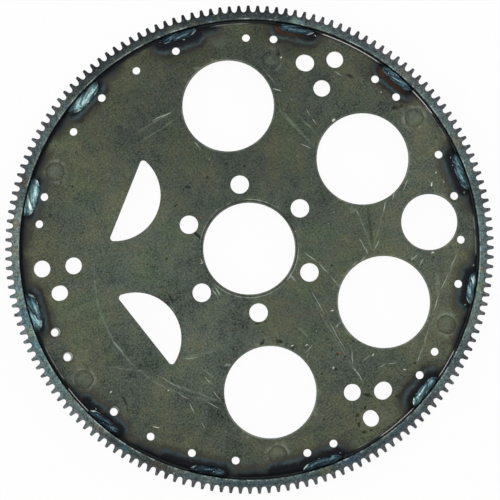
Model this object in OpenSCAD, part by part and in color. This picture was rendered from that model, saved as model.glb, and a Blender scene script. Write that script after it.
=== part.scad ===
// Flexplate: a pressed steel disc with a toothed starter ring welded round its turned-down rim.
// Millimetres, +Z up, crankshaft axis on Z. The part lies on the ring's back face at z = 0 with the
// welded face up, and +X runs through the single middle-sized hole.

/* [Ring gear] */
// number of teeth round the ring
teeth = 160; // [158:1:166]
// pitch diameter for each tooth
tooth_module = 2.1167; // [2.10:0.0001:2.18]
// height of the tooth above the pitch circle
addendum = 1.77; // [1.5:0.01:2.0]
// depth of the tooth space below the pitch circle
dedendum = 2.95; // [2.7:0.01:3.2]
// thickness of a tooth along the pitch circle
tooth_thick = 2.48; // [2.3:0.02:2.7]
// slope of the tooth flanks against the radius
pressure_angle = 12; // [10:0.5:14]
// bevel on the two corners of a tooth tip
tip_break = 0.45; // [0.2:0.05:0.6]
// angle of the first tooth from the +X axis
tooth_phase = 0.84; // [0:0.01:2.25]
// width of the ring along the axis
ring_w = 10.5; // [9:0.1:13]
// metal between the tooth roots and the ring's bore
ring_wall = 5.08; // [4:0.02:6]
// bevel on both edges of the ring's bore
ring_bevel = 0.45; // [0.2:0.05:0.8]

/* [Pressed plate] */
// thickness of the sheet
plate_t = 2.7; // [2.3:0.1:3.2]
// inside radius of the rim's bend
bend_r = 1.5; // [1:0.1:2.2]
// distance of the plate's face below the ring's front face
face_drop = 1.5; // [0.8:0.1:2.2]
// distance of the rim's edge above the ring's back face
rim_lift = 0.5; // [0.2:0.1:1.5]
// gap between the rim and the ring's bore
rim_fit = 0.02; // [0:0.01:0.1]

/* [Hub] */
// diameter of the pilot bore
bore_d = 64.5; // [58:0.5:68]
// width of the rolled edge round the pilot bore
bore_roll_w = 1.5; // [0.6:0.1:2.0]
// depth of the rolled edge round the pilot bore
bore_roll_h = 0.5; // [0.2:0.05:0.8]
// diameter of the crankshaft bolt holes
crank_d = 13; // [11:0.1:14]
// diameter of the circle through the crankshaft bolt holes
crank_circle_d = 90.93; // [88:0.01:95]
// turn of the one odd crankshaft hole, which lets the plate fit only one way round
crank_odd_turn = 4.65; // [2:0.05:8]

/* [Lightening holes] */
// diameter of the lightening holes
light_d = 64.5; // [56:0.5:66]
// diameter of the circle through the lightening holes
light_circle_d = 203.2; // [200:0.1:210]
// distance from the axis to the straight side of the two cut-down windows
window_side = 93.7; // [88:0.1:98]
// radius in the corners of the two cut-down windows
window_corner = 2.4; // [1.5:0.1:4]
// diameter of the middle-sized hole
middle_d = 39.4; // [34:0.2:44]
// distance from the axis to the middle-sized hole
middle_x = 127.7; // [124:0.1:132]
// width of the rolled edge round the large punched holes
hole_roll_w = 0.5; // [0.2:0.05:0.8]
// depth of the rolled edge round the large punched holes
hole_roll_h = 0.3; // [0.1:0.05:0.6]

/* [Converter holes] */
// diameter of the round converter bolt holes
conv_d = 11.8; // [10.8:0.1:12.6]
// diameter of the inner circle of converter holes
conv_inner_d = 247.65; // [246:0.01:249]
// diameter of the middle circle of converter holes
conv_middle_d = 273.05; // [271:0.01:275]
// diameter of the outer circle of converter holes
conv_outer_d = 292.1; // [290:0.01:293]
// turn of the inner and outer converter holes from the middle of their group
conv_side_turn = -2.75; // [-4:0.05:-2]
// turn of the middle converter hole from the middle of its group
conv_middle_turn = 4.9; // [4:0.05:6]
// extra length of the two wide slots across the radius
wide_slot_extra = 1.2; // [0.4:0.1:2]
// width of the two narrow slots along the radius
narrow_slot_w = 10.5; // [9.5:0.1:11.5]
// extra length of the two narrow slots along the radius
narrow_slot_extra = 1.3; // [0.4:0.1:2]

/* [Rim holes] */
// diameter of the small holes near the rim
rim_hole_d = 5.5; // [4:0.1:6.5]
// distance of the small holes from the start of the rim's bend
rim_hole_inset = 8.6; // [7.5:0.1:10]
// diameter of the three off-centre countersinks on small holes
sink_d = 7.4; // [6.8:0.1:9]
// distance of those countersinks from their holes towards the axis
sink_shift = 0.8; // [0.4:0.1:1.2]
// depth of those countersinks
sink_h = 0.6; // [0.3:0.1:1]

/* [Welds] */
// height of a weld bead above the plate's face
weld_crown = 1.4; // [0.6:0.1:1.45]
// how far a weld bead reaches down into the groove
weld_reach = 2.3; // [1.8:0.1:2.6]
// how far a weld bead sinks into the groove at its ends
weld_dip = 1.1; // [0.5:0.1:1.4]
// gap left between a weld bead and the metal it joins
weld_gap = 0.12; // [0.1:0.01:0.2]

/* [Hidden] */
$fn = 96;
// the sheet's cutters run this far past each face
past = 1;

pitch_r = teeth * tooth_module / 2;
tip_r = pitch_r + addendum;
root_r = pitch_r - dedendum;
ring_in_r = root_r - ring_wall;
// half of a tooth space on the pitch circle, and the full round that fits its bottom
space_half = (PI * tooth_module - tooth_thick) / 2;
root_round = (space_half - dedendum * tan(pressure_angle)) * cos(pressure_angle) / (1 - sin(pressure_angle));
root_mid_r = root_r + root_round;

plate_top = ring_w - face_drop;
plate_low = plate_top - plate_t;
bend_out_r = bend_r + plate_t;
rim_r = ring_in_r - rim_fit;
flat_r = rim_r - bend_out_r;

// the crankshaft and lightening holes share these six directions
spokes = [30, 90, 150, 210, 270, 330];
odd_spoke = 210;
light_spokes = [30, 90, 270, 330];
window_spokes = [150, 210];
// the converter and rim holes repeat round these three directions
groups = [60, 180, 300];
rim_hole_turns = [15, 22.5, 42, 54];
rim_hole_r = flat_r - rim_hole_inset;
// the three rim holes that were opened again with a larger drill
sink_turns = [195, 202.5, 222];

// the beads were laid by hand, so each has its own place, length and width
weld_at = [11.6, 40.8, 69.7, 100.0, 129.2, 158.4, 188.0, 221.9, 251.2, 280.5, 312.5, 341.6];
weld_len = [29, 28.4, 29, 29, 30.4, 29.6, 30, 29, 28, 31, 27.4, 24.6];
weld_w = [7.8, 6.6, 6.9, 6.9, 8.5, 8.4, 8.2, 6.9, 7.0, 6.9, 7.6, 6.6];

// sections along a bead, and where its blunt ends lie on the curve that shapes it
weld_steps = 9;
weld_end = 0.975;

weld_names = [
    "weld_bead_01", "weld_bead_02", "weld_bead_03", "weld_bead_04", "weld_bead_05", "weld_bead_06",
    "weld_bead_07", "weld_bead_08", "weld_bead_09", "weld_bead_10", "weld_bead_11", "weld_bead_12"];

// a point at radius r on the left flank of a tooth space, as [along, across] from the middle of the space
function flank(r) = [r, space_half + (r - pitch_r) * tan(pressure_angle)];

// One tooth space, open outwards along x: a full round at the root, straight flanks tangent to it, and a
// mouth that widens to break the corners of the two tooth tips.
module tooth_space() {
    touch = root_mid_r - root_round * sin(pressure_angle);
    mouth = flank(tip_r - tip_break);
    flare = [tip_r + past, mouth[1] + tip_break + past];
    right = [flank(touch), mouth, flare];
    left = [for (k = [2:-1:0]) [right[k][0], -right[k][1]]];
    translate([root_mid_r, 0])
        circle(root_round);
    polygon(concat([[root_mid_r, 0]], right, left));
}

module ring_outline() {
    difference() {
        circle(tip_r);
        circle(ring_in_r);
        for (t = [0:teeth - 1])
            rotate(tooth_phase + (t + 0.5) * 360 / teeth)
                tooth_space();
    }
}

module ring_gear() {
    color([0.30, 0.35, 0.36])
    difference() {
        linear_extrude(ring_w)
            ring_outline();
        for (z = [0, ring_w])
            translate([0, 0, z])
                rotate_extrude()
                    translate([ring_in_r, 0])
                        rotate(45)
                            square(ring_bevel * sqrt(2), center = true);
    }
}

// section of the pressing: flat sheet, rounded bend, rim turned down
module pan_section() {
    translate([0, plate_low])
        square([flat_r, plate_t]);
    translate([rim_r - plate_t, rim_lift])
        square([plate_t, plate_top - bend_out_r - rim_lift]);
    translate([flat_r, plate_top - bend_out_r])
        intersection() {
            difference() {
                circle(bend_out_r);
                circle(bend_r);
            }
            square(bend_out_r);
        }
}

// the pressing before its holes are punched
module pan() {
    rotate_extrude()
        pan_section();
}

// a punched round hole with the edge rolled in where the punch entered
module punched(d, roll_w, roll_h) {
    translate([0, 0, plate_low - past])
        cylinder(d = d, h = plate_t + 2 * past);
    translate([0, 0, plate_top - roll_h])
        cylinder(d1 = d, d2 = d + 4 * roll_w, h = 2 * roll_h);
}

// a straight-sided slot along x, round when extra is 0
module slot(w, extra) {
    translate([0, 0, plate_low - past]) {
        for (x = [-extra / 2, extra / 2])
            translate([x, 0, 0])
                cylinder(d = w, h = plate_t + 2 * past);
        if (extra > 0)
            translate([-extra / 2, -w / 2, 0])
                cube([extra, w, plate_t + 2 * past]);
    }
}

// a lightening hole cut down by a straight side across the radius, keeping the part nearer the axis
module window_outline() {
    mid = light_circle_d / 2;
    r = light_d / 2;
    corner_x = window_side - window_corner;
    corner_y = sqrt(pow(r - window_corner, 2) - pow(mid - corner_x, 2));
    tangent = [mid, 0] + [corner_x - mid, corner_y] * r / (r - window_corner);
    difference() {
        translate([mid, 0])
            circle(r);
        translate([window_side, -r])
            square([2 * r, 2 * r]);
        for (s = [-1, 1])
            polygon([
                [corner_x, s * corner_y],
                [window_side + past, s * corner_y],
                [window_side + past, s * (corner_y + 2 * window_corner)],
                [tangent[0], s * (corner_y + 2 * window_corner)],
                [tangent[0], s * tangent[1]]]);
    }
    for (s = [-1, 1])
        translate([corner_x, s * corner_y])
            circle(window_corner);
}

module hub_holes() {
    punched(bore_d, bore_roll_w, bore_roll_h);
    for (a = spokes)
        rotate(a + (a == odd_spoke ? crank_odd_turn : 0))
            translate([crank_circle_d / 2, 0, 0])
                slot(crank_d, 0);
}

module lightening_holes() {
    for (a = light_spokes)
        rotate(a)
            translate([light_circle_d / 2, 0, 0])
                punched(light_d, hole_roll_w, hole_roll_h);
    translate([middle_x, 0, 0])
        punched(middle_d, hole_roll_w, hole_roll_h);
    for (a = window_spokes)
        rotate(a)
            translate([0, 0, plate_low - past])
                linear_extrude(plate_t + 2 * past)
                    window_outline();
}

// three holes in each group: the plain group is round but for one narrow slot, the others have a wide slot
module converter_holes() {
    for (g = groups) {
        rotate(g + conv_side_turn)
            translate([conv_inner_d / 2, 0, 0])
                slot(conv_d, 0);
        rotate(g + conv_middle_turn)
            translate([conv_middle_d / 2, 0, 0])
                if (g == 180)
                    slot(narrow_slot_w, narrow_slot_extra);
                else
                    rotate(90)
                        slot(conv_d, wide_slot_extra);
        rotate(g + conv_side_turn)
            translate([conv_outer_d / 2, 0, 0])
                if (g == 300)
                    slot(narrow_slot_w, narrow_slot_extra);
                else
                    slot(conv_d, 0);
    }
}

module rim_holes() {
    for (g = groups, t = rim_hole_turns, s = [-1, 1])
        rotate(g + s * t)
            translate([rim_hole_r, 0, 0])
                slot(rim_hole_d, 0);
    for (a = sink_turns)
        rotate(a)
            translate([rim_hole_r - sink_shift, 0, plate_top - sink_h])
                cylinder(d1 = sink_d - 2 * sink_h, d2 = sink_d + 2 * sink_h, h = 2 * sink_h);
}

module pressed_plate() {
    color([0.31, 0.31, 0.26])
    difference() {
        pan();
        hub_holes();
        lightening_holes();
        converter_holes();
        rim_holes();
    }
}

// share of its full size that a bead has at the place u, which runs from -1 to 1 along it
function weld_share(u) = sqrt(1 - pow(abs(u), 3));

// One cross-section of a bead as [radius, height] points: from the toe along the pressing into the groove,
// then up the ring's bore and back over the crown.
function weld_section(w, share) =
    let (
        wall = ring_in_r - weld_gap,
        toe_r = wall - w * share,
        toe_turn = toe_r > flat_r ? asin((toe_r - flat_r) / bend_out_r) : 0,
        deep_turn = acos(1 - weld_reach / bend_out_r),
        skin = bend_out_r + weld_gap,
        toe_z = plate_top - bend_out_r + skin * cos(toe_turn),
        wall_z = plate_top - weld_dip * (1 - share),
        groove = [for (k = [0:3])
            let (a = toe_turn + 6 + (deep_turn - toe_turn - 6) * k / 3)
            [flat_r + skin * sin(a), plate_top - bend_out_r + skin * cos(a)]],
        crown = [for (k = [0:3])
            let (t = 1 - k / 4)
            [toe_r + (wall - toe_r) * t, toe_z + (wall_z - toe_z) * t + 4 * weld_crown * share * t * (1 - t)]]
    )
    concat([[toe_r, toe_z]], groove, [[wall, groove[3][1]]], crown);

// a bead laid by hand in the groove between the bend and the ring's bore, fuller in the middle
module weld_bead(i) {
    half_turn = weld_len[i] / 2 / ring_in_r * 180 / PI;
    rings = [for (k = [0:weld_steps])
        let (
            u = -weld_end * cos(180 * k / weld_steps),
            a = weld_at[i] + u * half_turn
        )
        [for (p = weld_section(weld_w[i], weld_share(u))) [p[0] * cos(a), p[0] * sin(a), p[1]]]];
    n = len(rings[0]);
    last = weld_steps * n;
    color([0.24, 0.32, 0.34])
    polyhedron(
        points = [for (r = rings) each r],
        faces = concat(
            [[for (j = [0:n - 1]) j]],
            [[for (j = [n - 1:-1:0]) last + j]],
            [for (k = [0:weld_steps - 1], j = [0:n - 1], h = [0, 1])
                let (
                    p = k * n + j,
                    q = k * n + (j + 1) % n
                )
                h == 0 ? [p, p + n, q] : [q, p + n, q + n]]));
}

pressed_plate();
ring_gear();
for (i = [0:len(weld_names) - 1])
    weld_bead(i);
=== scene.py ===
import math
import random

import bmesh
import bpy
from mathutils import Matrix, Vector


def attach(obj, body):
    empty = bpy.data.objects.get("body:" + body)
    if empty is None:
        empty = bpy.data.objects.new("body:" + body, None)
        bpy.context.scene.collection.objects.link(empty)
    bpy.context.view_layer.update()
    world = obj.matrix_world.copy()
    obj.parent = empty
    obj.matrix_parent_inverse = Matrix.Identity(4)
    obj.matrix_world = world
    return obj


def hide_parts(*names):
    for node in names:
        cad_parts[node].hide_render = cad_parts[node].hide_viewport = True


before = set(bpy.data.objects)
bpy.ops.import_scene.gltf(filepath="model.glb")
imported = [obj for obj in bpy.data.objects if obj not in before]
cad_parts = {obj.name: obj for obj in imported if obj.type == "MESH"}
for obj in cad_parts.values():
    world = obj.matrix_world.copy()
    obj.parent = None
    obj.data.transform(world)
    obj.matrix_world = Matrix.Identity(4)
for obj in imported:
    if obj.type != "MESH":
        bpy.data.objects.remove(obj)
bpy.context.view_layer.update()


# Pressed plate.
# A disc of sheet steel with its rim turned down, blanked and punched in a press. It is left bare and
# oily: olive and grey-green mottling, handling scratches, and blue-black scorching where it was welded.
# Broad light and shade, shade in the bend and highlights by the holes and along the bend are painted into
# its colour.

class Shade:
    """A number or colour of a finish as it changes over a surface; arithmetic on it adds Math nodes."""

    def __init__(self, tree, socket):
        self.tree = tree
        self.socket = socket

    def node(self, kind, settings, values, output=0):
        made = self.tree.nodes.new("ShaderNode" + kind)
        for name, setting in settings.items():
            if name == "stops":
                while len(made.color_ramp.elements) < len(setting):
                    made.color_ramp.elements.new(1.0)
                for stop, (at, colour) in zip(made.color_ramp.elements, setting):
                    stop.position = at
                    stop.color = colour
            else:
                setattr(made, name, setting)
        for name, value in values.items():
            if isinstance(value, Shade):
                self.tree.links.new(value.socket, made.inputs[name])
            else:
                made.inputs[name].default_value = value
        return Shade(self.tree, made.outputs[output])

    def math(self, operation, *terms):
        return self.node("Math", {"operation": operation}, dict(enumerate(terms)))

    def __add__(self, other):
        return self.math("ADD", self, other)

    def __radd__(self, other):
        return self.math("ADD", other, self)

    def __sub__(self, other):
        return self.math("SUBTRACT", self, other)

    def __rsub__(self, other):
        return self.math("SUBTRACT", other, self)

    def __mul__(self, other):
        return self.math("MULTIPLY", self, other)

    def __rmul__(self, other):
        return self.math("MULTIPLY", other, self)

    def __truediv__(self, other):
        return self.math("DIVIDE", self, other)

    def __abs__(self):
        return self.math("ABSOLUTE", self)

    def least(self, other):
        return self.math("MINIMUM", self, other)

    def most(self, other):
        return self.math("MAXIMUM", self, other)

    def root(self):
        return self.math("SQRT", self)

    def rise(self, low, high):
        """0 up to low and 1 from high on, or the other way round where low is the larger."""
        return self.node(
            "MapRange", {"interpolation_type": "SMOOTHSTEP"},
            {"Value": self, "From Min": low, "From Max": high})

    def axis(self, number):
        """One of the three coordinates of a place."""
        return self.node("SeparateXYZ", {}, {0: self}, number)

    def blend(self, first, second):
        """A colour that goes from the first to the second as this value goes from 0 to 1."""
        return self.node("Mix", {"data_type": "RGBA"}, {0: self, 6: first, 7: second}, 2)

    def stained(self, colour, mask):
        """This colour with another laid over it where the mask is 1."""
        return self.node("Mix", {"data_type": "RGBA"}, {0: mask, 6: self, 7: colour}, 2)

    def dimmed(self, level):
        """This colour times a level, 1 leaving it as it is."""
        return self.node(
            "Mix", {"data_type": "RGBA", "blend_type": "MULTIPLY"}, {0: 1.0, 6: self, 7: level}, 2)

    def cloud(self, grain, detail=2.0, rough=0.5, warp=0.0):
        """Cloudy mottling with patches about this many millimetres across."""
        return self.node(
            "TexNoise", {},
            {"Vector": self, "Scale": 1.0 / grain, "Detail": detail, "Roughness": rough,
             "Distortion": warp})

    def seen_from(self, x, y, turn, half_long, half_wide):
        """The place in the frame of a mark at x, y, turned by some degrees, with its half sizes as 1."""
        return self.node(
            "Mapping", {"vector_type": "TEXTURE"},
            {"Vector": self, "Location": (x, y, 0.0), "Rotation": (0.0, 0.0, math.radians(turn)),
             "Scale": (half_long, half_wide, 1e5)})

    def off(self, x, y, turn, half_long, half_wide):
        """Distance from the middle of a long mark, 1 all along its outline."""
        local = self.seen_from(x, y, turn, half_long, half_wide)
        return local.node("VectorMath", {"operation": "LENGTH"}, {0: local}, 1)

    def beyond(self, x, y, turn, half_long, half_wide):
        """Distance in millimetres outside a straight run with round ends, less than 0 within it."""
        local = self.seen_from(x, y, turn, 1.0, 1.0)
        abs_of = local.node("VectorMath", {"operation": "ABSOLUTE"}, {0: local})
        past = local.node("VectorMath", {"operation": "SUBTRACT"}, {0: abs_of, 1: (half_long, 0.0, 0.0)})
        past = local.node("VectorMath", {"operation": "MAXIMUM"}, {0: past, 1: (0.0, 0.0, 0.0)})
        return local.node("VectorMath", {"operation": "LENGTH"}, {0: past}, 1) - half_wide

    def nearest(self, marks):
        """Distance from the nearest of several long marks, each reached through the one before it."""
        found = self.off(*marks[0])
        for mark in marks[1:]:
            found = found.least(self.after(found).off(*mark))
        return found

    def after(self, found):
        """The same place, worked out only once another value is known."""
        trace = (1e-8, 1e-8, 1e-8)
        return self.node("VectorMath", {"operation": "MULTIPLY_ADD"}, {0: found, 1: trace, 2: self})


def ink(red, green, blue):
    """A colour as a screen shows it, made linear."""
    return tuple(
        c / 12.92 if c <= 0.04045 else ((c + 0.055) / 1.055) ** 2.4
        for c in (red / 255, green / 255, blue / 255)) + (1.0,)


def new_finish(name):
    """A material with its shader, and the place on the surface in millimetres."""
    material = bpy.data.materials.new(name)
    material.use_nodes = True
    tree = material.node_tree
    tree.nodes.clear()
    shader = tree.nodes.new("ShaderNodeBsdfPrincipled")
    output = tree.nodes.new("ShaderNodeOutputMaterial")
    tree.links.new(shader.outputs["BSDF"], output.inputs["Surface"])
    here = Shade(tree, tree.nodes.new("ShaderNodeTexCoord").outputs["Object"])
    here = here.node("VectorMath", {"operation": "SCALE"}, {0: here, "Scale": 1000.0})
    return material, shader, here


def moved(place, wander, reach):
    """The place shifted by a cloudy wander, which frays the outline of what is painted there."""
    centred = place.node("VectorMath", {"operation": "SUBTRACT"}, {0: wander, 1: (0.5, 0.5, 0.5)})
    shift = place.node("VectorMath", {"operation": "SCALE"}, {0: centred, "Scale": reach})
    return place.node("VectorMath", {"operation": "ADD"}, {0: place, 1: shift})


def dressed(node, material):
    """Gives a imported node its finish."""
    node.data.materials.clear()
    node.data.materials.append(material)


def around(far, way):
    """The x and y of a place this far from the axis and this many degrees round it."""
    return far * math.cos(math.radians(way)), far * math.sin(math.radians(way))


plate_steel, plate_shader, spot = new_finish("bare_plate")
plate_top = 9.0
bend_start = 157.1
x_mm = spot.axis(0)
y_mm = spot.axis(1)
z_mm = spot.axis(2)
radius = (x_mm * x_mm + y_mm * y_mm).root()
upper = z_mm.rise(plate_top - 1.2, plate_top - 0.4)
shown_bend = z_mm.rise(5.0, 6.0)

drift = spot.cloud(62.0, 2.0)
patch = spot.cloud(21.0, 3.0, 0.55)
mottle = spot.cloud(5.5, 3.0, 0.6)
grain = spot.cloud(1.3, 2.0, 0.65)
wander = spot.node("TexNoise", {}, {"Vector": spot, "Scale": 0.16, "Detail": 2.0}, 1)
fray = moved(spot, wander, 3.0)
wobble = moved(spot, wander, 1.6)

# oily film: grey-green steel, olive-brown towards the rim and in patches, slate where it was wiped
brown = (drift * 0.8 + patch * 0.9 + mottle * 0.45 + radius * 0.0016).rise(1.08, 1.50)
slate = (spot.cloud(34.0, 3.0, 0.6, 0.6) + mottle * 0.4).rise(0.72, 0.98)
colour = brown.blend(ink(79, 88, 79), ink(86, 88, 69))
colour = colour.stained(ink(75, 86, 80), slate * 0.65)

# tints in the film, from broad green patches to small tan and blue-grey flecks
greened = spot.cloud(27.0, 3.0, 0.6, 0.4).rise(0.50, 0.66)
tanned = spot.cloud(3.1, 2.0, 0.6).rise(0.52, 0.66)
cooled = spot.cloud(2.2, 2.0, 0.6).rise(0.52, 0.66)
colour = colour.stained(ink(77, 92, 69), greened * 0.42)
colour = colour.stained(ink(92, 88, 67), tanned * 0.36)
colour = colour.stained(ink(68, 88, 86), cooled * 0.35)

# how light the film is: mottling at four sizes, then broad painted light and shade over the whole disc
rub_a = spot.seen_from(0.0, 0.0, 118.0, 8.0, 0.75).cloud(1.0, 2.0, 0.55)
rub_b = spot.seen_from(0.0, 0.0, 34.0, 7.0, 0.70).cloud(1.0, 2.0, 0.55)
level = 0.94 + (drift - 0.5) * 1.0 + (patch - 0.5) * 1.25 + (mottle - 0.5) * 1.05
level = level + (grain - 0.5) * 2.5 + (rub_a - 0.5) * 0.5 + (rub_b - 0.5) * 0.5
painted_shade_top = spot.off(-2.0, 104.0, 8.0, 128.0, 84.0).rise(1.15, 0.30)
painted_light_right = spot.off(122.0, -12.0, 84.0, 92.0, 46.0).rise(1.2, 0.3)
painted_light_left = spot.off(-104.0, -18.0, 80.0, 92.0, 46.0).rise(1.2, 0.3)
painted_light_low = spot.off(-46.0, -62.0, 40.0, 62.0, 44.0).rise(1.2, 0.3)
painted_shade_hub = spot.off(22.0, 0.0, 0.0, 76.0, 70.0).rise(1.3, 0.6)
painted_shade_rim = spot.nearest([
    (-41.9, 146.1, 16.0, 19.0, 7.0), (36.8, 147.5, 166.0, 17.0, 7.0), (97.7, 116.4, 140.0, 9.0, 7.0),
    (-21.0, 140.5, 8.5, 17.0, 8.0), (50.0, 135.0, 159.7, 9.0, 7.0)])
painted_light_and_shade = 1.0 - painted_shade_top * 0.27 + painted_light_right * 0.13 + painted_light_left * 0.12 + painted_light_low * 0.16 - painted_shade_hub * 0.15
painted_light_and_shade = painted_light_and_shade - painted_shade_rim.rise(1.5, 0.5) * 0.19
level = level * painted_light_and_shade
colour = colour.dimmed(level)

# fine wear: short rubbing marks in two directions, then the long scratches one by one; every mark in
# these lists is its x and y, the way it lies in degrees, and half its length and width
rubbed = (rub_a.rise(0.60, 0.72) + rub_b.rise(0.63, 0.75)) * patch.rise(0.42, 0.64) * upper
colour = colour.stained(ink(124, 132, 120), rubbed * 0.24)
scratches = [
    (41.7, -12.0, 134, 7.6, 0.44), (49.9, -21.6, 125, 7.0, 0.44), (55.5, -30.4, 120, 5.2, 0.5),
    (42.0, -44.0, 110, 13.6, 0.34), (52.0, -69.5, 111, 16.0, 0.36), (62.3, -97.7, 112, 8.8, 0.55),
    (60.3, -85.3, 86, 7.6, 0.4), (140.1, -29.9, 56, 7.8, 0.36), (131.9, -42.8, 58, 9.8, 0.42),
    (124.2, -56.3, 63, 8.4, 0.46), (113.8, -78.3, 66, 9.0, 0.42), (106.8, -91.7, 61, 8.8, 0.44),
    (54.0, -61.8, 37, 4.2, 0.5), (31.2, -75.8, 41, 5.8, 0.5), (29.6, -80.0, 47, 3.8, 0.4),
    (79.4, -94.9, 17, 4.4, 0.42), (87.8, -94.1, 177, 5.6, 0.42), (70.1, -87.7, 26, 4.4, 0.4),
    (71.6, -21.3, 32, 4.0, 0.6), (78.0, -18.8, 37, 3.6, 0.6), (81.3, -13.1, 102, 4.4, 0.45),
    (88.8, -10.2, 58, 6.8, 0.45), (114.1, -22.7, 39, 4.6, 0.5), (118.6, -26.4, 52, 5.0, 0.4),
    (27.1, -24.5, 123, 6.0, 0.5), (-26.0, -26.6, 116, 5.8, 0.6), (-28.1, -27.4, 120, 4.0, 0.55),
    (-34.5, -5.3, 18, 2.3, 0.6), (-33.9, -4.0, 106, 2.2, 0.45), (-68.2, -84.8, 139, 10.2, 0.4),
    (-63.0, -88.6, 125, 3.1, 0.5), (-42.0, -87.0, 122, 4.9, 0.5), (-55.8, -104.7, 110, 5.6, 0.45),
    (-50.0, -117.2, 120, 3.7, 0.45), (-40.7, -104.9, 145, 7.4, 0.5), (-51.8, -70.1, 177, 8.0, 0.42),
    (-26.9, -78.4, 21, 2.6, 0.8), (-101.1, -54.5, 117, 10.6, 0.4), (-37.0, -99.0, 123, 6.4, 0.4),
    (-59.7, -96.2, 145, 5.4, 0.5), (-46.4, 101.3, 16, 11.0, 0.5), (-25.1, 76.8, 123, 5.2, 0.45),
    (50.1, 65.5, 146, 5.4, 0.4), (58.2, 81.6, 119, 3.6, 0.4), (55.1, 88.7, 110, 3.8, 0.4),
    (115.2, 28.5, 58, 5.4, 0.5), (105.8, 22.3, 68, 3.6, 0.5), (79.7, 112.7, 136, 5.6, 0.36),
    (97.9, 15.2, 69, 5.4, 0.45), (79.0, -8.6, 110, 7.0, 0.45), (111.6, -24.0, 80, 2.2, 0.55),
    (35.6, 107.7, 155, 4.2, 0.5), (79.0, 13.0, 100, 3.6, 0.45), (-27.6, -78.0, 70, 1.9, 0.5),
    (-25.6, -79.0, 40, 2.2, 0.5)]
scratched = wobble.nearest(scratches).rise(0.95, 0.30) * upper
scratched = scratched * (0.45 + mottle.rise(0.40, 0.58) * 0.55)
colour = colour.stained(ink(168, 177, 166), scratched * 0.85)

# faint wipes, one of them dark, and a long curved rub at the lower left
wipes = [
    (-53.3, 97.7, 23, 15.4, 1.0), (-49.6, 92.2, 25, 13.4, 0.7), (44.3, 80.6, 125, 18.0, 1.2),
    (52.2, 81.6, 127, 10.8, 0.8), (82.1, 0.7, 101, 15.8, 0.7), (93.1, 3.5, 66, 20.0, 0.6),
    (114.4, 32.6, 50, 5.3, 0.8), (49.7, -68.9, 112, 39.7, 0.4), (137.0, -36.6, 61, 24.3, 0.4),
    (113.8, -80.2, 63, 25.0, 0.4), (-53.1, -93.6, 152, 21.3, 0.9), (-45.0, -68.3, 4, 12.6, 0.9),
    (-39.8, -83.7, 133, 9.4, 0.8), (-96.8, -71.2, 165, 15.9, 0.7), (30.5, -65.6, 128, 10.7, 0.7),
    (31.5, 118.5, 122, 9.7, 0.6), (126.5, -44.5, 86, 9.3, 1.8), (-59.1, -34.3, 98, 7.3, 0.7),
    (76.4, 15.6, 20, 2.6, 1.2), (74.8, 17.6, 60, 1.8, 0.9)]
wiped = wobble.nearest(wipes).rise(1.4, 0.2) * (0.4 + mottle.rise(0.38, 0.60) * 0.6) * upper
colour = colour.stained(ink(134, 144, 130), wiped * 0.38)
curved = abs(wobble.off(-20.9, -13.4, 0.0, 1.0, 1.0) - 90.1).rise(1.2, 0.2)
curved = curved * spot.off(-97.2, -61.1, 122.0, 78.0, 46.0).rise(1.15, 0.85) * upper
colour = colour.stained(ink(128, 138, 126), curved * (0.3 + mottle.rise(0.40, 0.60) * 0.7) * 0.38)
colour = colour.stained(ink(46, 48, 42), wobble.off(86.1, 3.6, 89.0, 14.5, 1.0).rise(1.4, 0.3) * 0.62)
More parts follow.
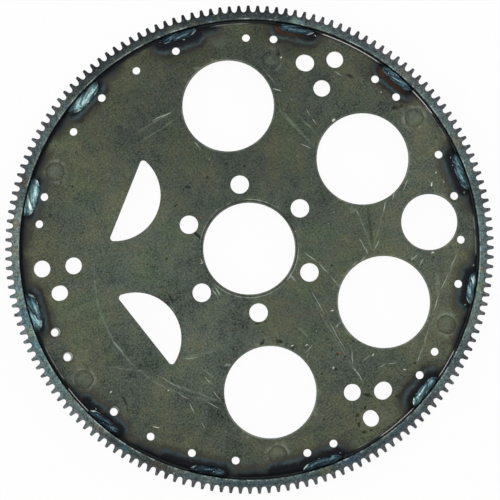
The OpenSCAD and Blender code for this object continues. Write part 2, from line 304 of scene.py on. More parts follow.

# bright chips, random specks that are painted glints, dark pits, rust dots and a black tick by the hub
chips = [
    (51.1, -51.5, 170, 1.3, 0.5), (126.7, -21.4, 20, 1.4, 0.6), (20.2, -71.6, 10, 1.2, 0.5),
    (30.0, -72.4, 15, 1.2, 0.4), (46.4, -91.2, 40, 0.8, 0.6), (71.8, 80.6, 30, 1.6, 0.9),
    (137.2, 33.7, 60, 0.7, 0.5), (142.0, 26.5, 80, 0.9, 0.5), (133.3, 25.9, 70, 1.8, 0.6),
    (42.0, 129.7, 0, 0.8, 0.6), (108.0, 95.4, 0, 0.6, 0.6), (-110.1, -85.1, 10, 0.9, 0.6),
    (-70.1, -89.8, 0, 0.7, 0.5), (-82.5, -114.3, 159, 2.8, 0.5), (95.2, -99.8, 160, 1.2, 0.5),
    (75.0, -86.2, 36, 1.3, 0.5)]
pits = [
    (66.6, -113.4, 160, 2.4, 1.3), (62.8, -112.0, 100, 0.8, 0.6), (69.0, -114.6, 0, 0.9, 0.6),
    (63.8, -121.6, 60, 1.4, 0.8), (57.9, -126.3, 20, 1.2, 1.0), (57.8, -133.0, 80, 1.6, 1.1),
    (60.5, -138.6, 10, 1.9, 1.2), (56.0, -129.5, 40, 0.7, 0.6), (47.9, -92.5, 20, 1.2, 0.9),
    (-0.2, -66.5, 50, 2.2, 1.0), (11.6, -67.3, 165, 2.7, 1.1), (16.0, -69.6, 30, 0.9, 0.6),
    (38.0, -94.2, 0, 0.8, 0.7), (102.7, -96.1, 30, 0.9, 0.7), (55.4, -20.0, 70, 0.7, 1.0),
    (62.9, -74.7, 20, 0.9, 0.6), (34.4, -126.4, 60, 0.9, 0.6), (65.6, -138.0, 0, 1.1, 0.8),
    (-7.1, 61.3, 0, 0.9, 0.7), (5.3, 57.8, 20, 1.2, 0.7), (-21.8, 53.9, 40, 0.9, 0.7),
    (-36.1, 48.7, 150, 1.9, 0.9), (-46.8, 37.3, 10, 1.4, 0.7), (-110.4, 85.0, 0, 0.7, 0.7),
    (-95.2, -76.3, 140, 1.3, 0.6), (-58.3, 1.3, 60, 0.8, 0.8), (-65.1, -17.8, 170, 1.7, 0.4),
    (-59.1, -27.0, 112, 3.4, 0.7), (-101.5, -92.3, 115, 4.2, 0.7), (106.3, 87.8, 0, 1.1, 0.9),
    (87.8, 109.7, 150, 2.4, 1.0), (115.5, 82.8, 20, 2.6, 1.5), (120.6, 83.8, 0, 1.3, 0.9),
    (41.0, 132.7, 60, 1.4, 0.8), (39.1, 134.4, 20, 0.9, 0.5), (47.4, -78.3, 40, 1.0, 0.7),
    (50.4, -82.3, 80, 0.9, 0.7), (55.3, -84.8, 20, 1.2, 0.8), (-116.6, 61.0, 30, 0.9, 0.7),
    (-124.4, 65.7, 0, 0.8, 0.7), (-119.9, 24.3, 60, 0.9, 0.6), (20.6, -73.2, 20, 1.6, 0.8),
    (-1.9, -52.8, 0, 1.6, 0.8), (4.0, -52.3, 40, 1.2, 0.6)]
pock_cells = {"Vector": wobble, "Scale": 0.21}
pock = spot.node("TexVoronoi", {}, pock_cells)
pock_pick = spot.node("TexVoronoi", {}, pock_cells, 1)
pock_pick = pock_pick.node("SeparateColor", {}, {0: pock_pick})
pocked = pock.rise(0.15, 0.07) * pock_pick.rise(0.74, 0.80)
glint = pock.rise(0.10, 0.05) * pock_pick.rise(0.12, 0.07) * upper
pitted = (wobble.nearest(pits) + (grain - 0.5) * 1.6).rise(1.45, 0.6).most(pocked * 0.8)
colour = colour.stained(ink(28, 28, 26), pitted * 0.8)
chips_and_glints = wobble.nearest(chips).rise(1.1, 0.5).most(glint * 0.45) * upper
colour = colour.stained(ink(205, 210, 200), chips_and_glints * 0.8)
rust = spot.nearest([
    (-30.2, 26.0, 20, 0.95, 0.8), (52.3, -81.6, 60, 1.5, 1.0), (44.9, -30.3, 0, 0.8, 0.6)])
colour = colour.stained(ink(122, 88, 48), rust.rise(1.1, 0.5) * 0.8)
tick = spot.seen_from(-34.4, 14.4, 131.0, 3.1, 0.95)
ticked = abs(tick.axis(0)).most(abs(tick.axis(1))).rise(1.1, 0.85)
colour = colour.stained(ink(30, 26, 26), ticked * 0.9 * upper)

# round witness marks of the six welding clamps, one of them faint, and two dark blots
clamp_r = 6.5
clamp_marks = []
for far, way in [
        (148.0, 30.0), (133.6, 75.0), (146.6, 150.0), (147.5, 210.0), (145.6, 269.5), (148.0, 330.5)]:
    clamp_marks.append((*around(far, way), 0.0, clamp_r, clamp_r))
clamp_off = wobble.nearest(clamp_marks) + (1.0 - upper) * 9.0
clamp_share = 1.0 - spot.off(34.6, 129.0, 0.0, 14.0, 14.0).rise(1.1, 0.9) * 0.55
clamp_ring = clamp_off.rise(0.84, 0.95) * clamp_off.rise(1.08, 0.98)
clamp_rub = clamp_off.rise(0.97, 1.08) * clamp_off.rise(1.55, 1.12)
clamp_rub = clamp_rub * (0.2 + mottle.rise(0.44, 0.58) * 0.8)
clamp_ring = clamp_ring * (0.35 + mottle.rise(0.36, 0.52) * 0.65) * clamp_share
clamp_middle = clamp_off.rise(0.85, 0.35) * (0.3 + mottle.rise(0.42, 0.58) * 0.4) * clamp_share
colour = colour.stained(ink(48, 48, 39), clamp_ring * 0.6)
colour = colour.stained(ink(104, 112, 98), clamp_middle)
colour = colour.stained(ink(140, 149, 138), clamp_rub * clamp_share * 0.42 * upper)
blots = spot.nearest([
    (40.7, 133.0, 105.0, 2.4, 1.0), (39.0, 132.4, 60.0, 1.1, 0.6), (88.0, -117.2, 172.0, 3.0, 1.3)])
blotted = (blots + (grain - 0.5) * 0.9).rise(1.25, 0.5)
colour = colour.stained(ink(24, 26, 28), blotted * 0.8 * upper)
pale_disc = spot.off(0.2, 147.5, 0.0, 6.0, 6.0).rise(1.1, 0.5)
colour = colour.stained(ink(90, 97, 84), pale_disc * 0.4)

# pale edges round the large holes, part wear and part painted highlight, a painted shade line and a
# painted highlight ring by the bore, bright countersinks
large_r = 32.25
large_far = 101.6
hole_off = None
for far, way, size in [
        (0.0, 0.0, large_r), (large_far, 30.0, large_r), (large_far, 90.0, large_r),
        (large_far, 270.0, large_r), (large_far, 330.0, large_r), (127.7, 0.0, 19.7)]:
    reached = abs((spot.off(*around(far, way), 0.0, 1.0, 1.0) - size) - 0.45)
    hole_off = reached if hole_off is None else hole_off.least(reached)
edge_wear_and_highlight = hole_off.rise(0.70, 0.10) * (0.35 + patch.rise(0.42, 0.6) * 0.65) * upper
edge_bruise = hole_off.rise(4.5, 0.5) * mottle.rise(0.54, 0.66) * patch.rise(0.50, 0.60) * upper
colour = colour.stained(ink(140, 146, 136), edge_wear_and_highlight * 0.6)
colour = colour.stained(ink(150, 156, 146), edge_bruise * 0.4)
bore_shade_line = abs(radius - 33.5).rise(0.55, 0.15) * (0.45 + patch.rise(0.40, 0.56) * 0.55)
colour = colour.stained(ink(40, 41, 38), bore_shade_line * 0.65)
bore_highlight = abs(radius - 34.5).rise(0.5, 0.12) * drift.rise(0.42, 0.54) * mottle.rise(0.36, 0.52)
colour = colour.stained(ink(150, 156, 146), bore_highlight * 0.6)
sink_r = 3.7
sinks = spot.nearest([
    (-142.7, -38.2, 0, sink_r, sink_r), (-136.5, -56.5, 0, sink_r, sink_r),
    (-109.8, -98.8, 0, sink_r, sink_r)])
colour = colour.stained(ink(176, 182, 174), sinks.rise(1.0, 0.9) * sinks.rise(0.60, 0.75) * 0.75)
colour = colour.stained(ink(48, 48, 44), abs(sinks - 1.12).rise(0.16, 0.04) * 0.5)

# scorching by the welds, and painted shade in the groove between them: black at the bead, blue-grey
# outside it, a dark line, then a brown edge
weld_at = [11.6, 40.8, 69.7, 100.0, 129.2, 158.4, 188.0, 221.9, 251.2, 280.5, 312.5, 341.6]
weld_len = [29.0, 28.4, 29.0, 29.0, 30.4, 29.6, 30.0, 29.0, 28.0, 31.0, 27.4, 24.6]
weld_w = [7.8, 6.6, 6.9, 6.9, 9.2, 9.2, 9.0, 6.9, 7.0, 6.9, 7.6, 6.6]
weld_burn = [0.9, 0.3, 0.3, 1.7, -2.5, -2.5, -2.2, 0.1, -0.3, 0.9, 0.5, 0.9]
scorch_and_shade_runs = []
for way, length, width, burn in zip(weld_at, weld_len, weld_w, weld_burn):
    scorch_and_shade_runs.append((158.6, way, length / 2 - 4.6, 5.9 + (width - 7.0) * 0.8 + burn))
# the narrow runs at about 160 mm between the welds paint shade in the groove beside the ring; the wider
# runs widen the scorching
scorch_and_shade_runs += [
    (158.8, 93.0, 5.0, 2.6), (160.0, 120.0, 6.0, 0.8), (160.2, 138.5, 5.0, 1.0),
    (160.2, 149.5, 5.0, 0.8), (160.2, 168.0, 6.0, 0.8), (160.5, 178.0, 8.0, 1.0),
    (158.0, 216.0, 2.5, 4.0), (160.0, 213.0, 5.0, 1.4), (158.8, 243.6, 9.0, 4.6),
    (160.0, 236.0, 9.0, 1.6), (158.4, 272.0, 11.0, 4.8), (159.8, 264.0, 12.0, 2.0),
    (160.0, 5.0, 5.0, 1.4), (160.0, 331.0, 9.0, 0.4), (160.0, 347.5, 6.0, 1.0)]
scorch = None
for far, way, half_long, half_wide in scorch_and_shade_runs:
    here = fray if scorch is None else fray.after(scorch)
    reached = here.beyond(*around(far, way), way + 90.0, half_long, half_wide)
    scorch = reached if scorch is None else scorch.least(reached)
scorch = scorch + (mottle - 0.5) * 4.0 + (grain - 0.5) * 2.0
hotter = fray.nearest([
    (113.5, 98.0, 130.8, 18.0, 14.0), (52.0, 140.7, 159.7, 18.0, 14.0),
    (-26.0, 147.7, 190.0, 18.0, 14.0), (-94.8, 116.2, 219.2, 18.0, 14.0),
    (-148.5, -20.9, 278.0, 18.0, 14.0), (101.3, -110.6, 42.5, 16.0, 12.0)])
hotter = hotter.rise(1.25, 0.7)
colour = colour.stained(ink(61, 58, 48), scorch.rise(10.5, 3.4) * 0.74)
colour = colour.stained(ink(56, 53, 43), scorch.rise(12.5, 6.0) * hotter * 0.4)
colour = colour.stained(ink(42, 48, 51), scorch.rise(5.0, 2.0) * 0.82)
blued = scorch.rise(4.6, 3.0) * scorch.rise(0.6, 2.2) * radius.rise(156.5, 152.5)
colour = colour.stained(ink(64, 80, 83), blued * (0.22 + mottle.rise(0.38, 0.58) * 0.5))
burnt_line = scorch.rise(7.2, 5.4) * scorch.rise(3.0, 4.4)
colour = colour.stained(ink(32, 36, 38), burnt_line * (0.10 + hotter * 0.55))
black = scorch.rise(2.2, -1.0) * (0.76 + radius.rise(149.0, 155.0) * 0.21)
colour = colour.stained(ink(17, 20, 24), black)
rust_zone = fray.nearest([
    (114.6, 102.6, 132.0, 15.5, 7.0), (48.4, 147.3, 161.8, 16.0, 7.0), (-117.0, -96.5, 131.0, 3.0, 3.0)])
rust_band = scorch.rise(0.7, -0.5) * scorch.rise(-3.4, -2.2) * rust_zone.rise(1.1, 0.5)
rust_band = rust_band * (0.35 + mottle.rise(0.36, 0.56) * 0.65)
colour = colour.stained(ink(76, 51, 30), rust_band * 0.66)

# bright beads of spatter thrown beside the welds: distance from the axis, way round, half size
spatter = []
for far, way, size in [
        (158.7, 105.0, 0.7), (156.6, 103.8, 0.9), (154.2, 99.0, 0.8), (157.0, 64.3, 0.8),
        (154.9, 15.9, 0.5), (154.2, 13.9, 0.5), (154.3, 12.5, 0.4), (155.9, 6.2, 0.6),
        (157.6, 347.4, 0.7), (155.9, 337.0, 0.6), (159.4, 286.7, 0.6), (156.1, 285.6, 0.5),
        (154.6, 280.1, 0.6), (155.1, 218.0, 0.7), (152.6, 130.2, 0.5)]:
    spatter.append((*around(far, way), way + 60.0, size * 1.3, size * 0.5))
spattered = wobble.nearest(spatter).rise(1.1, 0.4)
colour = colour.stained(ink(188, 196, 186), spattered * 0.7 * upper)

# soot and painted shade in the bend, less of it on the lit right side, painted light low in the bend,
# stronger on that side, painted glints along the bend, and a thin white painted highlight on it
lit_side = (x_mm * 0.94 - y_mm * 0.342).rise(-140.0, -20.0)
soot_and_shade_from = 158.5 + lit_side * 1.9 + (patch - 0.5) * 3.6
bend_soot_and_shade = (radius - soot_and_shade_from).rise(-2.2, 0.9)
colour = colour.stained(ink(50, 53, 54), bend_soot_and_shade * 0.86)
bend_painted_light = 0.25 + lit_side * z_mm.rise(3.5, 5.0) * 0.55
colour = colour.stained(ink(150, 158, 160), radius.rise(159.4, 160.3) * bend_painted_light)
bend_glints = spot.nearest([
    (142.6, 69.6, 116.0, 14.0, 4.0), (-146.9, -59.3, 292.0, 14.0, 4.0), (64.4, -144.8, 24.0, 11.0, 4.0),
    (157.8, -13.8, 85.0, 14.0, 4.0), (9.7, 158.1, 176.5, 14.0, 4.0)])
bend_glints = bend_glints.rise(1.1, 0.8) * abs(radius - 158.7).rise(0.75, 0.2) * shown_bend
colour = colour.stained(ink(150, 156, 148), bend_glints * (0.3 + mottle.rise(0.40, 0.56) * 0.5))
highlight_far = 159.75
highlight_runs = None
for first, last in [(27.6, 36.0), (46.0, 63.6), (209.0, 217.5), (296.0, 307.8), (317.4, 325.5)]:
    way = (first + last) / 2
    half_run = highlight_far * math.radians(last - first) / 2
    local = spot.seen_from(*around(highlight_far, way), way + 90.0, half_run, 1.0)
    reached = abs(local.axis(0)).rise(1.0, 0.8) * abs(local.axis(1)).rise(6.0, 5.0)
    highlight_runs = reached if highlight_runs is None else highlight_runs.most(reached)
highlight_r = 159.72 + y_mm.rise(40.0, -60.0) * 0.36
bend_highlight = abs(radius - highlight_r).rise(0.62, 0.2) * highlight_runs * shown_bend
colour = colour.stained((1.0, 0.97, 0.97, 1.0), bend_highlight)

roughness = 0.40 + mottle * 0.16 + grain * 0.10 + brown * 0.06 - rubbed * 0.06 - bend_highlight * 0.2
height = mottle * 0.4 + grain * 0.4
plate_bump = spot.node("Bump", {}, {"Strength": 0.3, "Distance": 0.0003, "Height": height})
tree = plate_steel.node_tree
tree.links.new(colour.socket, plate_shader.inputs["Base Color"])
tree.links.new(roughness.socket, plate_shader.inputs["Roughness"])
tree.links.new(plate_bump.socket, plate_shader.inputs["Normal"])
tree.links.new((0.85 - bend_highlight * 0.85).socket, plate_shader.inputs["Metallic"])
dressed(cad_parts["pressed_plate"], plate_steel)


# Toothed ring.
# A hoop of carbon steel with the starter's teeth cut round it, pressed on the rim. Its face is a dull
# teal-grey with blue, gold and brown tempering near the welds; the teeth are darker and more purple.
# Broad light and shade, light and shade on the teeth, and highlights along the inner edge are painted into
# its colour.

ring_steel, ring_shader, ring_spot = new_finish("tempered_ring")
root_r = 166.39
ring_in = 161.31
ring_top = 10.5
ring_x = ring_spot.axis(0)
ring_y = ring_spot.axis(1)
ring_z = ring_spot.axis(2)
ring_r = (ring_x * ring_x + ring_y * ring_y).root()
ring_drift = ring_spot.cloud(40.0, 3.0, 0.6)
ring_patch = ring_spot.cloud(9.0, 3.0, 0.6)
ring_mottle = ring_spot.cloud(2.6, 3.0, 0.6)
ring_grain = ring_spot.cloud(1.0, 2.0, 0.65)
ring_wander = ring_spot.node("TexNoise", {}, {"Vector": ring_spot, "Scale": 0.22, "Detail": 2.0}, 1)
ring_fray = moved(ring_spot, ring_wander, 6.0)

face_teal = (ring_drift * 0.7 + ring_patch * 0.7).rise(0.48, 0.92)
ring_colour = face_teal.blend(ink(66, 79, 80), ink(86, 106, 104))
ring_colour = ring_colour.stained(ink(96, 108, 100), ring_mottle.rise(0.54, 0.68) * 0.35)
ring_colour = ring_colour.stained(ink(66, 62, 58), (ring_patch + ring_mottle * 0.5).rise(0.86, 1.0) * 0.35)

# where the face is lighter or darker, the long stretches being painted light and shade, or blued, gilded
# or browned: way round, distance from the axis, half length and width, colour and strength
for way, far, half_long, half_wide, hue, depth in [
        (84.0, 164.0, 104.0, 12.0, ink(40, 47, 50), 0.88),
        (117.0, 164.0, 60.0, 12.0, ink(44, 50, 49), 0.84),
        (52.0, 164.0, 30.0, 12.0, ink(61, 72, 73), 0.72),
        (202.0, 164.0, 36.0, 12.0, ink(104, 130, 129), 0.55),
        (337.0, 164.0, 22.0, 12.0, ink(108, 120, 114), 0.55),
        (262.0, 164.0, 30.0, 12.0, ink(56, 70, 77), 0.6),
        (171.0, 164.0, 34.0, 12.0, ink(126, 140, 134), 0.7),
        (186.0, 164.0, 20.0, 12.0, ink(110, 140, 146), 0.8),
        (216.0, 164.0, 16.0, 12.0, ink(102, 116, 112), 0.6),
        (232.0, 164.0, 26.0, 12.0, ink(54, 61, 60), 0.85),
        (290.0, 164.0, 76.0, 12.0, ink(50, 65, 70), 0.75),
        (352.0, 164.0, 22.0, 12.0, ink(88, 112, 116), 0.6),
        (22.0, 163.0, 18.0, 8.0, ink(88, 104, 98), 0.35),
        (40.0, 164.4, 7.0, 4.6, ink(92, 88, 82), 0.7),
        (36.0, 164.6, 3.4, 4.0, ink(72, 62, 58), 0.6),
        (69.6, 162.6, 5.2, 3.8, ink(104, 128, 122), 0.8),
        (19.0, 163.5, 5.0, 3.6, ink(104, 100, 70), 0.45),
        (100.5, 163.5, 6.0, 3.0, ink(84, 88, 74), 0.6),
        (155.0, 165.0, 5.0, 4.0, ink(78, 62, 52), 0.6),
        (166.0, 165.0, 5.0, 5.0, ink(136, 124, 100), 0.55),
        (183.5, 164.4, 4.0, 3.6, ink(134, 140, 110), 0.5),
        (187.5, 165.0, 4.2, 4.6, ink(66, 92, 114), 0.6),
        (192.5, 164.0, 4.0, 3.6, ink(124, 144, 118), 0.5),
        (196.0, 164.6, 3.6, 3.6, ink(78, 124, 134), 0.55),
        (203.0, 164.0, 5.0, 4.0, ink(92, 124, 128), 0.5),
        (222.0, 163.6, 5.0, 3.6, ink(112, 100, 86), 0.6),
        (230.0, 165.0, 4.0, 3.0, ink(60, 112, 116), 0.5),
        (240.0, 164.4, 9.0, 4.0, ink(74, 66, 58), 0.6),
        (252.0, 163.6, 7.0, 4.0, ink(92, 112, 110), 0.5),
        (280.5, 163.8, 6.0, 4.0, ink(88, 96, 66), 0.7),
        (287.5, 164.0, 7.0, 4.0, ink(54, 76, 104), 0.6),
        (312.0, 165.0, 9.0, 4.0, ink(66, 62, 66), 0.65),
        (342.0, 163.5, 5.0, 4.0, ink(104, 116, 92), 0.55),
        (346.5, 164.0, 3.0, 4.0, ink(110, 96, 78), 0.5)]:
    mark = ring_fray.off(*around(far, way), way + 90.0, half_long, half_wide).rise(1.25, 0.45)
    ring_colour = ring_colour.stained(hue, mark * depth)

# small clouds of tempering blue, gold and brown, strongest on the left: size, where they begin, colour
tempered = 0.4 + ring_spot.off(-150.0, -30.0, 12.0, 90.0, 130.0).rise(1.2, 0.5) * 0.6
for size, low, hue, depth in [
        (8.0, 0.55, ink(56, 84, 106), 0.6), (6.3, 0.56, ink(128, 122, 92), 0.6),
        (5.1, 0.56, ink(82, 68, 58), 0.55)]:
    clouded = ring_fray.cloud(size, 3.0, 0.6).rise(low, 0.70)
    ring_colour = ring_colour.stained(hue, clouded * tempered * depth)

# teeth, their gaps and the edges: painted light on the teeth at the left and bottom and painted shade on
# those at the top, darker cut flanks, a painted highlight along the ring's inner edge, and painted glints
tooth = (ring_r + (ring_patch - 0.5) * 1.6).rise(root_r - 1.6, root_r + 0.5)
tooth_tone = ring_drift.rise(0.36, 0.62).blend(ink(78, 75, 83), ink(104, 103, 107))
painted_light_teeth_left = ring_spot.off(-160.0, -50.0, 17.0, 60.0, 110.0).rise(1.2, 0.5)
tooth_tone = tooth_tone.stained(ink(128, 138, 138), painted_light_teeth_left * 0.75)
painted_light_teeth_low = ring_spot.off(-10.0, -166.0, 0.0, 130.0, 50.0).rise(1.2, 0.5)
tooth_tone = tooth_tone.stained(ink(116, 120, 122), painted_light_teeth_low * 0.5)
painted_shade_teeth_top = ring_spot.off(-28.0, 168.0, 8.0, 120.0, 60.0).rise(1.2, 0.5)
tooth_tone = tooth_tone.stained(ink(34, 35, 41), painted_shade_teeth_top * 0.9)
tooth_tone = tooth_tone.stained(ring_colour, ring_mottle.rise(0.4, 0.6) * 0.35)
ring_colour = ring_colour.stained(tooth_tone, tooth * 0.85)
flank = ring_z.rise(ring_top - 0.05, ring_top - 0.6) * ring_r.rise(root_r - 2.0, root_r - 0.5)
ring_colour = ring_colour.stained(ink(54, 50, 56), flank * 0.5)
# painted highlight where the chamfer of the inner edge catches the light, broken in places
inner_edge_highlight = ring_r.rise(ring_in + 1.7, ring_in + 0.3) * (0.4 + ring_patch.rise(0.42, 0.60) * 0.6)
ring_colour = ring_colour.stained(ink(122, 138, 132), inner_edge_highlight * 0.42)
bore_wall = ring_r.rise(ring_in + 0.16, ring_in + 0.02)
ring_colour = ring_colour.stained(ink(62, 69, 72), bore_wall * 0.8)
broken_edge_highlight = abs(ring_r - ring_in - 0.4).rise(0.45, 0.1) * ring_patch.rise(0.48, 0.60)
ring_colour = ring_colour.stained(ink(170, 184, 178), broken_edge_highlight * 0.7)
# random painted glints over the ring
ring_glint = ring_spot.cloud(1.3, 1.0).rise(0.68, 0.76)
ring_colour = ring_colour.stained(ink(168, 178, 172), ring_glint * 0.5)
ring_level = 0.90 + (ring_mottle - 0.5) * 1.6 + (ring_grain - 0.5) * 2.8
ring_level = ring_level * (1.06 - ring_r.rise(ring_in + 0.8, root_r - 0.6) * 0.18)
ring_colour = ring_colour.dimmed(ring_level)

ring_roughness = 0.38 + ring_mottle * 0.18 + tooth * 0.08
ring_height = ring_mottle * 0.4 + ring_grain * 0.3
ring_bump = ring_spot.node("Bump", {}, {"Strength": 0.25, "Distance": 0.0003, "Height": ring_height})
tree = ring_steel.node_tree
tree.links.new(ring_colour.socket, ring_shader.inputs["Base Color"])
tree.links.new(ring_roughness.socket, ring_shader.inputs["Roughness"])
tree.links.new(ring_bump.socket, ring_shader.inputs["Normal"])
ring_shader.inputs["Metallic"].default_value = 0.85
dressed(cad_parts["ring_gear"], ring_steel)


# Weld beads.
# Twelve short runs of weld metal laid by hand in the groove between the plate's bend and the ring's
# bore. Each is a rippled puddle, fuller in the middle, glassy and teal where it cooled clean.
# Its colour carries painted highlights and glints, and painted shade along its edges and in its crease.

weld_metal, weld_shader, weld_spot = new_finish("weld_puddle")


def carried(name):
    """A value that each bead carries on its vertices."""
    return weld_spot.node("Attribute", {"attribute_name": name}, {}, 2)


along = carried("along")
across = carried("across")
clean = carried("clean")
lean = carried("lean")
shine = carried("shine")
run = carried("run")
lengthwise = weld_spot.node("CombineXYZ", {}, {0: along * 14.5, 1: across * 7.0, 2: run * 17.0})
streaks = weld_spot.node("CombineXYZ", {}, {0: along * 14.5 + run * 41.0, 1: across * 7.0 + run * 13.0})
sweep = streaks.seen_from(0.0, 0.0, 14.0, 9.5, 1.2).cloud(1.0, 1.5, 0.5)
blotch = lengthwise.cloud(5.0, 1.0)
chill = weld_spot.cloud(0.8, 1.0)
# the bright lobes, the streaks and the pale toe line lighten the tone as painted highlights
first_lobe = lengthwise.off(6.2, 3.0, 10.0, 8.0, 2.4).rise(1.25, 0.30)
tongue = lengthwise.off(-3.0, 3.9, 9.0, 9.2, 2.5) + (blotch - 0.5) * 0.9
last_lobe = tongue.rise(1.15, 0.35)
crease = abs(tongue - 1.0).rise(0.17, 0.02) * along.rise(-0.62, -0.30) * blotch.rise(0.34, 0.50)
end_glint = (lengthwise.off(-11.2, 4.0, 34.0, 3.2, 0.6) + (chill - 0.5) * 0.9).rise(1.1, 0.4)
taper = (1.0 - abs(along) * along * along).most(0.02)
edge = across / taper.root()
toe_highlight = abs(edge - 0.88).rise(0.09, 0.02) * blotch.rise(0.40, 0.58)
tone = clean * 0.72 - 0.04 + lean * along + (sweep - 0.5) * 1.15 + (blotch - 0.5) * 0.35
tone = tone + first_lobe.most(last_lobe) * (0.08 + clean * 0.26) + toe_highlight * (0.06 + clean * 0.42)
weld_colour = tone.node("ValToRGB", {"stops": [
    (0.0, ink(18, 24, 30)), (0.25, ink(36, 51, 61)), (0.5, ink(68, 96, 104)),
    (0.75, ink(122, 156, 157)), (1.0, ink(206, 224, 218))]}, {0: tone})
# painted shade in the crease and along the bead's edges and ends, next to the ring and the plate
weld_colour = weld_colour.stained(ink(16, 21, 26), crease * 0.85)
weld_colour = weld_colour.stained(ink(24, 28, 31), across.rise(0.06, 0.0) * 0.7)
weld_colour = weld_colour.stained(ink(18, 21, 24), edge.rise(0.94, 1.03) * 0.92)
weld_colour = weld_colour.stained(ink(20, 25, 30), along.rise(0.66, 0.98) * 0.8)
weld_colour = weld_colour.stained(ink(20, 25, 30), along.rise(-0.80, -1.0) * 0.8)
# painted glints at the bead's low end and in small random specks
weld_colour = weld_colour.stained(ink(204, 220, 212), end_glint * shine)
weld_glints = weld_spot.cloud(0.9, 1.0).rise(0.71, 0.76)
weld_colour = weld_colour.stained(ink(214, 226, 220), weld_glints * 0.45)
rust_fleck = weld_spot.cloud(2.2, 1.0).rise(0.70, 0.74)
weld_colour = weld_colour.stained(ink(112, 84, 44), rust_fleck * 0.45)
chevron = along * 46.0 + (across - 0.5) * (across - 0.5) * 9.0
chevron = chevron.math("SINE", chevron)
weld_height = chevron * 0.10 + sweep * 0.8 - crease * 0.6 + chill * 0.06
weld_bump = weld_spot.node("Bump", {}, {"Strength": 0.35, "Distance": 0.0004, "Height": weld_height})
weld_roughness = 0.22 + blotch * 0.14 + chill * 0.04
tree = weld_metal.node_tree
tree.links.new(weld_colour.socket, weld_shader.inputs["Base Color"])
tree.links.new(weld_roughness.socket, weld_shader.inputs["Roughness"])
tree.links.new(weld_bump.socket, weld_shader.inputs["Normal"])
weld_shader.inputs["Metallic"].default_value = 0.9

# the pattern bead: its section drawn point by point, then spun along the groove, in metres at +X
mm = 0.001
pattern_len = 29.0
pattern_w = 7.4
weld_gap = 0.12
bend_out = 4.2
wall = ring_in - weld_gap
crown = 1.4
dip = 1.1
toe = wall - pattern_w
groove_deep = 2.3
groove_low = math.acos(1 - groove_deep / bend_out)
section = [(toe, plate_top + weld_gap)]
for k in range(6):
    slope = math.radians(2) + (groove_low - math.radians(2)) * k / 5
    section.append((
        bend_start + (bend_out + weld_gap) * math.sin(slope),
        plate_top - bend_out + (bend_out + weld_gap) * math.cos(slope)))
section.append((wall, section[-1][1]))
for k in range(8):
    t = 1 - k / 8
    section.append((toe + pattern_w * t, plate_top + weld_gap * (1 - t) + 4 * crown * t * (1 - t)))
bead_end = 0.975
half_turn = pattern_len / 2 / ring_in
start = -bead_end * half_turn


def at_turn(point, angle):
    """A section's point in metres, turned round the axis."""
    return Vector((point[0] * math.cos(angle), point[0] * math.sin(angle), point[1])) * mm


bpy.ops.object.select_all(action="DESELECT")
bpy.ops.mesh.primitive_plane_add(size=mm, location=at_turn(section[0], start))
pattern = bpy.context.object
bpy.ops.object.transform_apply(location=True, rotation=True, scale=True)
bpy.ops.object.mode_set(mode="EDIT")
bpy.ops.mesh.merge(type="CENTER")
for before, after in zip(section, section[1:]):
    step = at_turn(after, start) - at_turn(before, start)
    bpy.ops.mesh.extrude_vertices_move(TRANSFORM_OT_translate={"value": step})
bpy.ops.mesh.select_all(action="SELECT")
bpy.ops.mesh.edge_face_add()
ripples = 40
bpy.ops.mesh.spin(
    steps=ripples, angle=-2 * start, center=(0.0, 0.0, 0.0), axis=(0.0, 0.0, -1.0))
bpy.ops.mesh.select_all(action="SELECT")
bpy.ops.mesh.remove_doubles(threshold=1e-6)


def pick(mesh_object, wanted):
    """Selects the vertices whose place in millimetres is wanted, and nothing else."""
    shape = bmesh.from_edit_mesh(mesh_object.data)
    for face in shape.faces:
        face.select = False
    for edge in shape.edges:
        edge.select = False
    for vertex in shape.verts:
        vertex.select = bool(wanted(vertex.co / mm))
    bmesh.update_edit_mesh(mesh_object.data)


bpy.ops.mesh.select_mode(type="VERT")
dice = random.Random(7)
for k in range(ripples + 1):
    u = -bead_end + 2 * bead_end * k / ripples
    angle = u * half_turn
    share = math.sqrt(1 - abs(u) ** 3) * (1.0 + dice.uniform(-0.018, 0.018))
    pick(pattern, lambda p: abs(math.atan2(p.y, p.x) - angle) < half_turn / ripples / 2)
    middle = at_turn((wall, plate_top), angle)
    bpy.ops.transform.resize(value=(share, share, share), center_override=middle)
    bpy.ops.transform.translate(value=(0.0, 0.0, -dip * (1 - share) * mm))
bpy.ops.mesh.select_all(action="SELECT")
bpy.ops.mesh.normals_make_consistent(inside=False)

# the crease between two passes of the torch and the crater where the arc was broken off
crease_deep = 0.22
crater_deep = 0.20
pick(pattern, lambda p: p.z > plate_top + 0.35 and abs(
    (wall - math.hypot(p.x, p.y)) / pattern_w - 0.42 - 0.34 * math.atan2(p.y, p.x) / half_turn) < 0.10)
bpy.ops.transform.translate(value=(0.0, 0.0, -crease_deep * mm))
pick(pattern, lambda p: p.z > plate_top + 0.3 and abs(
    math.atan2(p.y, p.x) / half_turn + 0.72) < 0.10 and 2.0 < wall - math.hypot(p.x, p.y) < 5.5)
bpy.ops.transform.translate(value=(0.0, 0.0, -crater_deep * mm))
bpy.ops.mesh.select_all(action="SELECT")
bpy.ops.object.mode_set(mode="OBJECT")
rounded = pattern.modifiers.new("rounded", "SUBSURF")
rounded.levels = 2
rounded.render_levels = 2
bpy.ops.object.modifier_apply(modifier="rounded")
bpy.ops.object.shade_smooth()

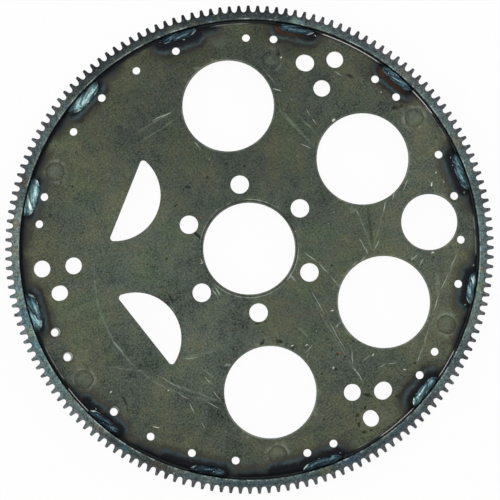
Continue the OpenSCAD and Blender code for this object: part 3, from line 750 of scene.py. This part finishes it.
# twelve copies, each stretched to its own length and width, turned to its place and roughened there
puddle = bpy.data.textures.new("puddle", "CLOUDS")
puddle.noise_scale = 0.0050
puddle.noise_depth = 1
weld_clean = [0.46, 0.41, 0.30, 0.32, 0.72, 0.73, 0.57, 0.26, 0.20, 0.34, 0.58, 0.58]
weld_lean = [-0.06, -0.04, 0.0, 0.0, 0.05, 0.08, 0.24, 0.0, 0.05, -0.02, -0.12, -0.12]
weld_shine = [0.25, 0.15, 0.65, 0.5, 0.1, 0.3, 0.3, 0.8, 0.35, 0.95, 0.7, 0.5]
for number, way in enumerate(weld_at):
    bead = pattern.copy()
    bead.data = pattern.data.copy()
    bead.name = "weld_run_%02d" % (number + 1)
    bpy.context.scene.collection.objects.link(bead)
    bpy.ops.object.select_all(action="DESELECT")
    bead.select_set(True)
    bpy.context.view_layer.objects.active = bead
    bpy.ops.object.mode_set(mode="EDIT")
    bpy.ops.mesh.select_all(action="SELECT")
    stretch = (weld_w[number] / pattern_w, weld_len[number] / pattern_len, 1.0)
    bpy.ops.transform.resize(value=stretch, center_override=(wall * mm, 0.0, plate_top * mm))
    bpy.ops.transform.rotate(value=-math.radians(way), orient_axis="Z", center_override=(0.0, 0.0, 0.0))
    bpy.ops.object.mode_set(mode="OBJECT")
    rough = bead.modifiers.new("rough", "DISPLACE")
    rough.texture = puddle
    rough.texture_coords = "LOCAL"
    rough.strength = 0.35 * mm
    rough.mid_level = 0.5
    bpy.ops.object.modifier_apply(modifier="rough")
    places = [vertex.co / mm for vertex in bead.data.vertices]
    turned = [math.atan2(p.y, p.x) - math.radians(way) for p in places]
    turned = [math.atan2(math.sin(a), math.cos(a)) for a in turned]
    for name, values in [
            ("along", [a / (weld_len[number] / 2 / ring_in) for a in turned]),
            ("across", [(wall - math.hypot(p.x, p.y)) / weld_w[number] for p in places]),
            ("run", [number] * len(places)),
            ("clean", [weld_clean[number]] * len(places)),
            ("lean", [weld_lean[number]] * len(places)),
            ("shine", [weld_shine[number]] * len(places))]:
        layer = bead.data.attributes.new(name, "FLOAT", "POINT")
        layer.data.foreach_set("value", values)
    dressed(bead, weld_metal)
    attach(bead, "root")
    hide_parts("weld_bead_%02d" % (number + 1))
bpy.data.objects.remove(pattern)


# Floor.
# A wide matt white table top under the ring's back face. To the eye and in the metal it is mostly a
# plain white, and it keeps the soft shadow that the part throws.


def looked_at(tree):
    """1 for what the eye sees, straight or in the metal, and 0 for light on its way round."""
    path = tree.nodes.new("ShaderNodeLightPath")
    seen_now = Shade(tree, path.outputs["Is Camera Ray"])
    seen_now = seen_now.most(Shade(tree, path.outputs["Is Glossy Ray"]))
    return seen_now.most(Shade(tree, path.outputs["Is Transmission Ray"]))


bpy.ops.object.select_all(action="DESELECT")
bpy.ops.mesh.primitive_plane_add(size=30.0, location=(0.0, 0.0, -0.0002))
floor = bpy.context.object
floor.name = "floor"
floor_white = bpy.data.materials.new("floor_white")
floor_white.use_nodes = True
tree = floor_white.node_tree
tree.nodes.clear()
matt = tree.nodes.new("ShaderNodeBsdfDiffuse")
matt.inputs["Color"].default_value = (0.94, 0.94, 0.94, 1.0)
glow = tree.nodes.new("ShaderNodeEmission")
glow.inputs["Color"].default_value = (1.0, 1.0, 1.0, 1.0)
glow.inputs["Strength"].default_value = 1.0
white_mix = tree.nodes.new("ShaderNodeMixShader")
tree.links.new((looked_at(tree) * 0.95).socket, white_mix.inputs[0])
tree.links.new(matt.outputs[0], white_mix.inputs[1])
tree.links.new(glow.outputs[0], white_mix.inputs[2])
floor_out = tree.nodes.new("ShaderNodeOutputMaterial")
tree.links.new(white_mix.outputs[0], floor_out.inputs["Surface"])
dressed(floor, floor_white)


# Studio.
# A white room that darkens overhead, a large soft lamp above, and two soft lamps low at the upper
# right and the left that pick out the bend, the tooth tips and the beads.

room = bpy.data.worlds.new("studio")
room.use_nodes = True
bpy.context.scene.world = room
tree = room.node_tree
tree.nodes.clear()
heading = Shade(tree, tree.nodes.new("ShaderNodeTexCoord").outputs["Generated"])
walls = 1.0 - heading.axis(2).rise(0.35, 0.85) * 0.5
by_eye = looked_at(tree)
brightness = by_eye * walls + (1.0 - by_eye) * 0.45
room_light = tree.nodes.new("ShaderNodeBackground")
tree.links.new(brightness.socket, room_light.inputs["Strength"])
room_out = tree.nodes.new("ShaderNodeOutputWorld")
tree.links.new(room_light.outputs[0], room_out.inputs["Surface"])


def soft_lamp(name, place, size, watts, colour=(1.0, 1.0, 1.0)):
    """A square soft lamp aimed at the middle of the part."""
    lamp = bpy.data.lights.new(name, "AREA")
    lamp.shape = "SQUARE"
    lamp.size = size
    lamp.energy = watts
    lamp.color = colour
    stand = bpy.data.objects.new(name, lamp)
    stand.location = place
    stand.rotation_euler = (-Vector(place)).to_track_quat("-Z", "Y").to_euler()
    bpy.context.scene.collection.objects.link(stand)


soft_lamp("lamp_above", (0.10, 0.20, 1.40), 1.0, 7.0)
soft_lamp("lamp_upper_right", (0.95, 0.75, 0.42), 0.5, 3.0)
soft_lamp("lamp_left", (-1.10, -0.10, 0.60), 0.6, 2.5)


# Camera.
# It looks down on the part from 1.2 m, a few degrees off the axis, turned so that the single
# middle-sized hole lies just above the right-hand end of the level line through the hub.

seen = (
    Matrix.Rotation(math.radians(-0.60), 3, "Y")
    @ Matrix.Rotation(math.radians(-2.2), 3, "X")
    @ Matrix.Rotation(math.radians(8.389), 3, "Z"))
distance = 1.2
picture_w = 500.0
dot = 0.0007009
hub_x = 249.255
hub_y = 248.97
film_w = 36.0
view = seen.transposed()
lens = bpy.data.cameras.new("camera")
lens.sensor_width = film_w
lens.lens = film_w * (distance / dot) / picture_w
lens.shift_x = (picture_w / 2 - hub_x) / picture_w
lens.shift_y = -(picture_w / 2 - hub_y) / picture_w
lens.clip_start = 0.05
lens.clip_end = 40.0
camera = bpy.data.objects.new("camera", lens)
stand_at = view @ Vector((0.0, 0.0, distance + plate_top * mm))
camera.matrix_world = Matrix.Translation(stand_at) @ view.to_4x4()
bpy.context.scene.collection.objects.link(camera)
bpy.context.scene.camera = camera
bpy.context.scene.view_settings.view_transform = "Standard"
